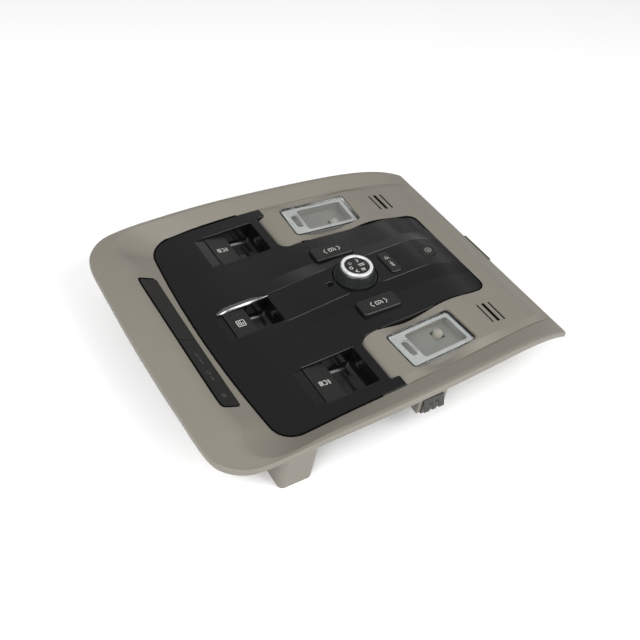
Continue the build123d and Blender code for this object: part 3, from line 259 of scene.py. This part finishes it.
def finishedPiece(name, body, mesh, material):
    # A new piece at the origin, with its place in its mesh
    data = bpy.data.meshes.new(name)
    mesh.to_mesh(data)
    mesh.free()
    piece = bpy.data.objects.new(name, data)
    bpy.context.scene.collection.objects.link(piece)
    data.materials.append(material)
    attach(piece, body)
    return piece


def smoothed(piece, creaseAngle=35):
    # Smooth shading that keeps real edges sharp
    piece.data.shade_smooth()
    piece.data.set_sharp_from_angle(angle=math.radians(creaseAngle))


def addStroke(mesh, start, end, width, depth):
    # One bar of a mark, from start to end, in millimetres
    start, end = Vector(start), Vector(end)
    run = end - start
    turn = Matrix.Rotation(math.atan2(run.y, run.x), 4, "Z")
    middle = (start + end) / 2
    place = Matrix.Translation((middle.x, middle.y, 0)) @ turn @ Matrix.Diagonal(
        (run.length + width, width, depth, 1))
    bmesh.ops.create_cube(mesh, size=1.0, matrix=place)


def ringOf(centre, radius, steps=10, first=0, last=360):
    # Points of a round line
    angles = [math.radians(first + (last - first) * i / steps) for i in range(steps + 1)]
    return [(centre[0] + radius * math.cos(a), centre[1] + radius * math.sin(a)) for a in angles]


def surfaceAt(node, x, y, startHeight=200):
    # Point and normal of a node's upper surface, straight below x and y in millimetres
    start = Vector((x * mm, y * mm, startHeight * mm))
    return nodes[node].ray_cast(start, Vector((0, 0, -1)))[1:3]


def heightAt(node, x, y):
    # Height in millimetres of a node's upper surface, and 0 beside the node
    return surfaceAt(node, x, y)[0].z / mm


def middleOf(node):
    low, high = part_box(node)
    return (low.x + high.x) / 2 / mm, (low.y + high.y) / 2 / mm


def drawMark(name, node, lines, spot, along, width, material=etchedWhite, depth=0.12):
    # A printed mark: lines in millimetres, laid on a node's surface at a spot
    place, normal = surfaceAt(node, *spot)
    up = normal.cross(Vector(along)).normalized()
    mesh = bmesh.new()
    for line in lines:
        for start, end in zip(line, line[1:]):
            addStroke(mesh, start, end, width, depth)
    basis = Matrix((up.cross(normal), up, normal)).transposed().to_4x4()
    bmesh.ops.transform(mesh, verts=mesh.verts,
                        matrix=Matrix.Translation(place) @ basis @ Matrix.Scale(mm, 4))
    finishedPiece(name, bodyOf[node], mesh, material)


# Line drawings of the marks, in millimetres
letterO = [ringOf((0, 0), 0.85, 12)]
letterF = [[(-0.6, -0.95), (-0.6, 0.95), (0.6, 0.95)], [(-0.6, 0.05), (0.4, 0.05)]]


def moved(lines, dx, dy, size=1.0):
    return [[(x * size + dx, y * size + dy) for x, y in line] for line in lines]


lampMark = [
    [(-5.6, 2.4), (-7.4, 0), (-5.6, -2.4)], [(5.6, 2.4), (7.4, 0), (5.6, -2.4)],
    [(-2.8, -1.6), (-2.8, 1.6), (-0.4, 1.6), (-0.4, -1.6), (-2.8, -1.6)],
    [(0.6, 1.9), (2.9, 0.5), (2.9, -1.9)], [(0.6, -1.4), (1.8, -0.2)],
]
blindMark = [
    [(-4.6, 2.0), (-4.6, -2.0)], [(-3.5, 2.0), (-3.5, -2.0)], [(-2.4, 2.0), (-2.4, -2.0)],
    [(-0.9, 1.8), (0.9, 1.8), (0.9, -1.8), (-0.9, -1.8)],
    ringOf((3.0, 1.4), 0.5, 6), ringOf((3.0, -1.4), 0.5, 6), [(2.2, 0), (3.8, 0)],
]
roofMark = [
    [(-3.0, -3.0), (-3.0, 3.0), (3.0, 3.0), (3.0, -3.0), (-3.0, -3.0)],
    [(-1.6, -1.5), (-1.6, 1.5), (0.0, 1.5), (0.0, -1.5), (-1.6, -1.5)],
    [(1.5, -1.8), (1.5, 0.2)],
]
offMark = (moved([ringOf((0, 0), 1.1, 12, 40, 320), [(1.4, 1.1), (2.2, 1.7)], [(1.6, 0), (2.6, 0)],
                  [(1.4, -1.1), (2.2, -1.7)]], -5.6, 0) + moved(letterO, 0.2, 0) + moved(letterF, 2.8, 0)
           + moved(letterF, 5.2, 0))
roundMark = [ringOf((0, 0), 2.6, 20), ringOf((0, 0), 0.9, 10)]
capMark = (
    [[(-0.5, 5.6), (-0.5, 1.2)], [(0.9, 5.2), (0.9, 1.6)]]
    + moved([[(-1.2, 0), (0, 1.2), (1.2, 0)]], -4.2, 2.2)
    + moved([[(-1, 1), (1, 1)], [(-1, 0), (1, 0)], [(-1, -1), (1, -1)]], 4.6, 2.0)
    + moved([ringOf((0, 0), 1.0, 10)], -3.4, -3.2)
    + moved([[(-1.1, -0.8), (1.1, -0.8), (1.1, 0.9), (-1.1, 0.9), (-1.1, -0.8)]], 0.6, -4.8)
    + moved([[(-1.2, 0.9), (0, -0.9), (1.2, 0.9)]], 4.6, -3.0)
)

letterN = [[(-0.6, -0.95), (-0.6, 0.95), (0.6, -0.95), (0.6, 0.95)]]
stripOff = (moved(letterO, -2.2, 0) + moved(letterF, 0.2, 0) + moved(letterF, 2.4, 0)
            + moved([ringOf((0, 0), 1.5, 12), [(-0.7, 0), (0.7, 0)]], -6.5, 0))
stripOn = moved(letterO, -1.2, 0) + moved(letterN, 1.3, 0) + moved([ringOf((0, 0), 1.5, 12)], -5.5, 0)
stripLamp = [ringOf((0, 0), 1.7, 12), [(-0.9, -0.9), (0.9, 0.9)], [(-0.9, 0.9), (0.9, -0.9)]]

towardsRear = (1, 0, 0)
towardsRight = (0, -1, 0)
markTable = (
    # name, node, lines, reading direction, line width
    ("mark_map_left", "map_button_left", lampMark, towardsRear, 0.45),
    ("mark_key_left", "key_left", blindMark, towardsRear, 0.42),
    ("mark_map_right", "map_button_right", lampMark, towardsRear, 0.45),
    ("mark_key_right", "key_right", blindMark, towardsRear, 0.42),
    ("mark_key_centre", "key_centre", roofMark, towardsRear, 0.45),
    ("mark_off", "off_button", offMark, towardsRight, 0.42),
    ("mark_round", "round_button", roundMark, towardsRear, 0.4),
    ("mark_cap", "knob_cap", moved(capMark, 0, 0, 1.2), towardsRight, 0.5),
)
for name, node, lines, along, width in markTable:
    drawMark(name, node, lines, middleOf(node), along, width)
stripX, stripY = middleOf("indicator_lens")
for name, lines, shift in (("mark_strip_off", stripOff, 12), ("mark_strip_on", stripOn, -6),
                           ("mark_strip_lamp", stripLamp, -24)):
    drawMark(name, "indicator_lens", lines, (stripX, stripY + shift), towardsRight, 0.3, smokedPrint)
print("stage: marks")


rounding = {"weld": 0.001, "flatAngle": 1, "sharpAngle": 40, "segments": 3, "profile": 0.5}


def roundedCopy(node, width, material):
    # A node's form with its sharp edges rounded, in place of the node
    mesh = bmesh.new()
    mesh.from_mesh(nodes[node].data)
    bmesh.ops.remove_doubles(mesh, verts=mesh.verts, dist=rounding["weld"] * mm)
    bmesh.ops.dissolve_limit(mesh, angle_limit=math.radians(rounding["flatAngle"]), verts=mesh.verts,
                             edges=mesh.edges)
    sharp = [edge for edge in mesh.edges if len(edge.link_faces) == 2
             and edge.calc_face_angle() > math.radians(rounding["sharpAngle"])]
    bmesh.ops.bevel(mesh, geom=sharp, offset=width, offset_type="OFFSET", segments=rounding["segments"],
                    profile=rounding["profile"], affect="EDGES", clamp_overlap=True, material=-1)
    piece = finishedPiece(f"{node}_rounded", bodyOf[node], mesh, material)
    smoothed(piece)
    weights = piece.modifiers.new("faceWeights", "WEIGHTED_NORMAL")
    weights.keep_sharp = True
    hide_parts(node)


# Lamps: rounded lenses, and behind each a prism film with a clear field and an oblong window
lamp = {"place": (41.9, 80.1, 50.0), "turn": 3.5, "length": 57.2, "width": 32.2, "corner": 2.0,
        "frost": 12.5, "border": 3.2, "clearCorner": 2.5, "windowX": -20.9, "windowLength": 15.0,
        "windowWidth": 5.0, "windowCorner": 2.2, "top": -1.17, "thickness": 0.16, "edgeRound": 0.35}


def roundedRectangle(x, y, length, width, radius, steps=5):
    # Corner points in order, in millimetres
    points = []
    for sx, sy, first in ((1, 1, 0), (-1, 1, 90), (-1, -1, 180), (1, -1, 270)):
        centre = (x + sx * (length / 2 - radius), y + sy * (width / 2 - radius))
        points += ringOf(centre, radius, steps, first, first + 90)
    return points


def plateWithHoles(mesh, outline, holes, low, high):
    # A flat plate with holes through it, all in millimetres
    edges = []
    for loop in [outline] + holes:
        verts = [mesh.verts.new((x, y, low)) for x, y in loop]
        edges += [mesh.edges.new((a, b)) for a, b in zip(verts, verts[1:] + verts[:1])]
    bmesh.ops.triangle_fill(mesh, edges=edges, use_beauty=True)
    bmesh.ops.solidify(mesh, geom=mesh.faces, thickness=low - high)
    bmesh.ops.recalc_face_normals(mesh, faces=mesh.faces)


def sweptSkin(name, sections, body, material):
    # A first section drawn as a face, then extruded from section to section, all in millimetres
    mesh = bmesh.new()
    face = mesh.faces.new([mesh.verts.new(point) for point in sections[0]])
    for section in sections[1:]:
        face = bmesh.ops.extrude_discrete_faces(mesh, faces=[face])["faces"][0]
        for vert, point in zip(face.verts, section):
            vert.co = point
    bmesh.ops.holes_fill(mesh, edges=[edge for edge in mesh.edges if edge.is_boundary], sides=0)
    bmesh.ops.recalc_face_normals(mesh, faces=mesh.faces)
    bmesh.ops.scale(mesh, verts=mesh.verts, vec=(mm, mm, mm))
    smoothed(finishedPiece(name, body, mesh, material))


def between(stations, x):
    # Value at x, eased between stations of x and value
    for (low, first), (high, second) in zip(stations, stations[1:]):
        if x <= high:
            share = (x - low) / (high - low)
            return first + (second - first) * share * share * (3 - 2 * share)
    return stations[-1][1]


# Rolled lip on the far side of the centre well: polished skin from the panel's top down into the well
lip = {"stations": ((-87, 2.4), (-78, 4.1), (-60, 3.9), (-43.5, 1.0)), "start": -86.4, "length": 42.6,
       "edge": 14.0, "wall": 0.8, "sink": 0.04, "beside": 1.2, "steps": 28, "arc": 10}
lipRows = []
for step in range(lip["steps"] + 1):
    x = lip["start"] + (lip["length"] * step) / lip["steps"]
    radius = between(lip["stations"], x)
    top = heightAt("centre_panel", x, lip["edge"] + radius + lip["beside"]) - lip["sink"]
    row = []
    for size, angles in ((radius, range(lip["arc"] + 1)),
                         (radius - lip["wall"], range(lip["arc"], -1, -1))):
        for k in angles:
            angle = math.radians(90 * k / lip["arc"])
            row.append((x, lip["edge"] + radius - size * math.sin(angle),
                        top - radius + size * math.cos(angle)))
    lipRows.append(row)
sweptSkin("rolled_lip", lipRows, "console", lacqueredAbs)

# Fine beads along the two crests of the panel's ridge
bead = {"offset": 16.0, "radius": 0.38, "sink": 0.22, "runs": ((-52, 16.5), (35.5, 111)), "sides": 10,
        "pitch": 3, "tip": 0.25, "growth": 0.2}
for side, sign in sides:
    for number, (start, end) in enumerate(bead["runs"]):
        rows = []
        steps = int((end - start) / bead["pitch"])
        for step in range(steps + 1):
            x = start + (end - start) * step / steps
            y = sign * bead["offset"]
            z = heightAt("centre_panel", x, y) - bead["sink"]
            size = bead["radius"] * min(1, bead["tip"] + min(step, steps - step) * bead["growth"])
            angles = [math.radians(360 * k / bead["sides"]) for k in range(bead["sides"])]
            rows.append([(x, y + size * math.cos(angle), z + size * math.sin(angle)) for angle in angles])
        sweptSkin(f"crest_bead_{side}_{number + 1}", rows, "console", wellAbs)

# Foam seals under the seam between the centre panel and the rear panel, and a skirt under the panel's edge
# there, because the deck dips below it. What lies below skinFloor is a foot or a flange, no upper skin
skinFloor = 35
seal = {"halfWidth": 2.6, "below": 3.1, "thickness": 2.4, "probe": 1.8,
        "sideX": range(110, -2, -6), "sideY": 56.5, "cornerX": -0.7, "slope": 0.046,
        "corner": [(-4.5, 58.0), (-7.4, 62.0)], "frontX": -8, "frontY": range(66, 97, 6),
        "ear": [(-7.0, 98.4), (-3.5, 99.9), (-0.7, 101.0), (-0.7, 108.5)]}
skirt = {"inner": 1.7, "outer": 0.5, "below": 1.9}


def crossSection(edges, x, y, run, sign):
    # Corner points at offsets from a route's point, square to its run, each with its height
    return [(x - run.y * offset, sign * (y + run.x * offset), height) for offset, height in edges]


# From the rear along the seam to its front corner, across the front of the lamp pod, and round the ear
route = [(x, seal["sideY"] - (x - seal["cornerX"]) * seal["slope"]) for x in seal["sideX"]]
route += seal["corner"] + [(seal["frontX"], y) for y in seal["frontY"]] + seal["ear"]
for side, sign in sides:
    sealRows = []
    skirtRows = []
    panelTop = 0
    for index, (x, y) in enumerate(route):
        before = route[max(index - 1, 0)]
        after = route[min(index + 1, len(route) - 1)]
        run = Vector((after[0] - before[0], after[1] - before[1])).normalized()
        onPanel, onDeck = crossSection(((seal["probe"], 0), (-seal["probe"], 0)), x, y, run, sign)
        panelHeight = heightAt("centre_panel", *onPanel[:2])
        deckHeight = heightAt("rear_panel", *onDeck[:2])
        panelTop = panelHeight if panelHeight > skinFloor else panelTop
        deckTop = deckHeight if deckHeight > skinFloor else panelTop
        low = min(panelTop, deckTop) - seal["below"]
        top = panelTop - skirt["below"]
        skirtRows.append(crossSection(((skirt["inner"], top), (skirt["outer"], top),
                                       (skirt["outer"], low), (skirt["inner"], low)), x, y, run, sign))
        base = low - seal["thickness"]
        half = seal["halfWidth"]
        sealRows.append(crossSection(((half, low), (-half, low), (-half, base), (half, base)),
                                     x, y, run, sign))
    sweptSkin(f"foam_seal_{side}", sealRows, "console", cellFoam)
    sweptSkin(f"panel_skirt_{side}", skirtRows, "console", blackAbs)


def rimPoint(names, centre, angle, reach, stride=0.2, lowest=30):
    # Outermost point of a piece's upper skin in one direction, marching inwards, in millimetres
    ray = Vector((math.cos(angle), math.sin(angle)))
    distance = reach
    while distance > 0:
        x, y = centre[0] + ray.x * distance, centre[1] + ray.y * distance
        for name in names:
            if heightAt(name, x, y) > lowest:
                return Vector((x, y))
        distance -= stride
    return None


def fan(first, last, pitch=2):
    # Directions at an even pitch, in degrees
    return [math.radians(angle) for angle in range(first, last + 1, pitch)]


def narrowFan(slimness=0.1, pitch=4):
    # Directions all round a strip that lies along Y, closer together towards its ends
    turns = [math.radians(angle) for angle in range(0, 361, pitch)]
    return [math.atan2(math.cos(turn), -slimness * math.sin(turn)) for turn in turns]


# Painted shade: black strips laid in the seams around the centre panel and the indicator strip, standing in
# for the shadow in the gaps
shadeLine = {"inside": 0.3, "outside": 0.95, "proud": 0.1, "thickness": 1.2, "probe": 1.6}
stripMiddleX = (middleOf("indicator_lens")[0] + middleOf("indicator_blank")[0]) / 2
seams = (
    # name, nodes inside the seam, node outside it, centre, reach, directions
    ("panel_shade_line", ("centre_panel",), "outer_bezel", (-45, 0), 150, fan(78, 282)),
    ("tongue_shade_line", ("centre_panel",), "rear_panel", (45, 0), 92, fan(-122, 122)),
    ("strip_shade_line", ("indicator_lens", "indicator_blank"), "outer_bezel", (stripMiddleX, 0), 80,
     narrowFan()),
)
for name, names, neighbour, centre, reach, angles in seams:
    rim = [point for point in (rimPoint(names, centre, angle, reach) for angle in angles) if point]
    rows = []
    for index, point in enumerate(rim):
        run = (rim[min(index + 1, len(rim) - 1)] - rim[max(index - 1, 0)]).normalized()
        out = Vector((run.y, -run.x))
        if out.dot(point - Vector(centre)) < 0:
            out = -out
        inner, outer = point - out * shadeLine["inside"], point + out * shadeLine["outside"]
        height = heightAt(neighbour, *(point + out * shadeLine["probe"]))
        if height < skinFloor:
            height = heightAt(names[0], *(point - out * shadeLine["probe"]))
        top = height + shadeLine["proud"]
        base = top - shadeLine["thickness"]
        rows.append([(*inner, top), (*outer, top), (*outer, base), (*inner, base)])
    sweptSkin(name, rows, "console", seamShadeAndMeshBlack)

# Black mesh in the slots of the grilles, just under the deck's surface
grille = {"x": 102.3, "y": 76.5, "pitch": 6.0, "length": 21.0, "widths": (1.7, 3.2, 1.7), "sink": 0.25,
          "thickness": 0.5, "probe": 0.6, "steps": 7}
for side, sign in sides:
    for number, width in enumerate(grille["widths"]):
        x = grille["x"] + (number - 1) * grille["pitch"]
        rows = []
        for step in range(grille["steps"] + 1):
            y = sign * (grille["y"] + grille["length"] * (step / grille["steps"] - 0.5))
            row = []
            for edge in (-1, 1):
                height = heightAt("rear_panel", x + edge * (width / 2 + grille["probe"]), y)
                row.append((x + edge * width / 2, y, height - grille["sink"]))
            rows.append(row + [(px, py, pz - grille["thickness"]) for px, py, pz in reversed(row)])
        sweptSkin(f"grille_mesh_{side}_{number + 1}", rows, "console", seamShadeAndMeshBlack)
print("stage: lip, seals and grilles")

for side, sign in sides:
    roundedCopy(f"lamp_lens_{side}", lamp["edgeRound"] * mm, clearPc)
    mesh = bmesh.new()
    clearLength = lamp["length"] - lamp["frost"] - lamp["border"]
    outline = roundedRectangle(0, 0, lamp["length"], lamp["width"], lamp["corner"])
    clearField = roundedRectangle((lamp["frost"] - lamp["border"]) / 2, 0, clearLength,
                                  lamp["width"] - 2 * lamp["border"], lamp["clearCorner"])
    window = roundedRectangle(lamp["windowX"], 0, lamp["windowWidth"], lamp["windowLength"],
                              lamp["windowCorner"])
    plateWithHoles(mesh, outline, [clearField, window], lamp["top"] - lamp["thickness"], lamp["top"])
    x, y, z = lamp["place"]
    turn = Matrix.Rotation(math.radians(-sign * lamp["turn"]), 4, "Z")
    bmesh.ops.transform(mesh, verts=mesh.verts,
                        matrix=Matrix.Scale(mm, 4) @ Matrix.Translation((x, sign * y, z)) @ turn)
    finishedPiece(f"prism_film_{side}", "console", mesh, prismFilm)
print("stage: lamps")

# Studio: pale floor, soft light from above, and the camera at the photograph's viewing angle
studio = {
    "floorSize": 16.0,
    "floorColour": "#FCFCFC",
    "worldColour": "#FFFFFF",
    "worldStrength": 0.45,
    "aim": (-0.01, 0, 0.05),
    "lights": (
        # name, place, width, height, power
        ("frontSoftbox", (-0.95, -0.49, 0.98), 0.92, 0.92, 18.5),
        ("sideSoftbox", (0.74, -1.17, 0.98), 1.0, 1.5, 23.0),
        ("edgeStrip", (0.75, 1.2, 0.92), 0.9, 0.06, 0.5),
    ),
}
floorMesh = bmesh.new()
bmesh.ops.create_grid(floorMesh, x_segments=1, y_segments=1, size=studio["floorSize"] / 2)
floorData = bpy.data.meshes.new("studioFloor")
floorMesh.to_mesh(floorData)
floorMesh.free()
floor = bpy.data.objects.new("studioFloor", floorData)
bpy.context.scene.collection.objects.link(floor)
paper, tree, shader = newMaterial("matPaperSweep", {"Base Color": linearColour(studio["floorColour"]),
                                                    "Roughness": 0.9})
floorData.materials.append(paper)

world = bpy.data.worlds.new("studioWorld")
world.use_nodes = True
bpy.context.scene.world = world
background = world.node_tree.nodes["Background"]
background.inputs["Color"].default_value = linearColour(studio["worldColour"])
background.inputs["Strength"].default_value = studio["worldStrength"]

aim = Vector(studio["aim"])
for name, place, width, height, power in studio["lights"]:
    light = bpy.data.lights.new(name, "AREA")
    light.shape = "RECTANGLE"
    light.size = width
    light.size_y = height
    light.energy = power
    fixture = bpy.data.objects.new(name, light)
    fixture.location = place
    fixture.rotation_euler = (aim - Vector(place)).to_track_quat("-Z", "Y").to_euler()
    bpy.context.scene.collection.objects.link(fixture)

cameraSet = {"target": (-0.0237, -0.0288, 0.05), "azimuth": -37.11, "elevation": 43.54, "roll": 8.47,
             "distance": 0.65, "lens": 49.42, "sensor": 36}
azimuth = math.radians(cameraSet["azimuth"])
elevation = math.radians(cameraSet["elevation"])
roll = math.radians(cameraSet["roll"])
back = Vector((math.sin(azimuth) * math.cos(elevation), -math.cos(azimuth) * math.cos(elevation),
               math.sin(elevation)))
right = Vector((math.cos(azimuth), math.sin(azimuth), 0))
above = back.cross(right)
cameraRight = right * math.cos(roll) + above * math.sin(roll)
cameraUp = above * math.cos(roll) - right * math.sin(roll)
camera = bpy.data.objects.new("photoCamera", bpy.data.cameras.new("photoCamera"))
camera.data.lens = cameraSet["lens"]
camera.data.sensor_width = cameraSet["sensor"]
bpy.context.scene.collection.objects.link(camera)
camera.matrix_world = (Matrix.Translation(Vector(cameraSet["target"]) + back * cameraSet["distance"])
                       @ Matrix((cameraRight, cameraUp, back)).transposed().to_4x4())
bpy.context.scene.camera = camera
bpy.context.scene.view_settings.view_transform = "Standard"
print("stage: studio and camera")
